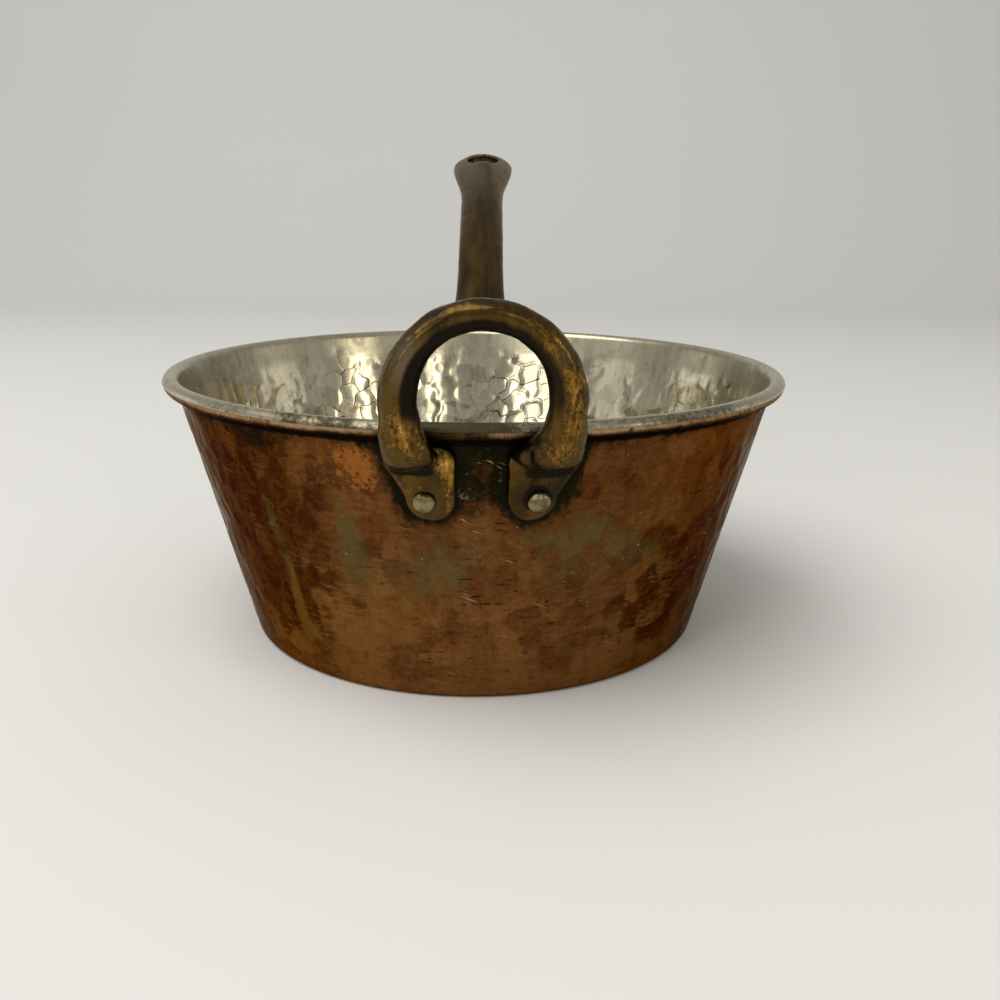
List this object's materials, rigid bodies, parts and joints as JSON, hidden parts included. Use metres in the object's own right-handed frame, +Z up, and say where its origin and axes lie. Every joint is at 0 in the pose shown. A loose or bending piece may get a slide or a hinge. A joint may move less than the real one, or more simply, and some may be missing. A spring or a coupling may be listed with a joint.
{
  "type": "saucepan",
  "caption": "Hammered copper saucepan with sloping sides, tinned inside, with a rolled rim, a cast brass helper loop and a long arched brass handle ending in a hanging eye.",
  "frame": {"origin": "centre of the base's underside, on the table", "axes": "+Z up, +Y towards the long handle, -Y towards the helper loop, +X to the right when seen from the helper loop"},
  "size_m": [0.24, 0.442, 0.1951],
  "materials": {
    "copper": "hammered copper with a brown patina",
    "tin": "satin tin, wiped on by hand",
    "iron_wire": "drawn iron wire",
    "cast_brass": "dark patinated cast brass, worn bright at the edges",
    "rivet_brass": "hammered brass"
  },
  "bodies": {
    "root": {"pan_body": "copper", "tin_lining": "tin", "rim_wire": "iron_wire", "loop_handle": "cast_brass", "loop_rivet_left": "rivet_brass", "loop_rivet_right": "rivet_brass", "long_handle": "cast_brass", "handle_rivet_left": "rivet_brass", "handle_rivet_right": "rivet_brass", "handle_rivet_lower": "rivet_brass"}
  },
  "joints": []
}
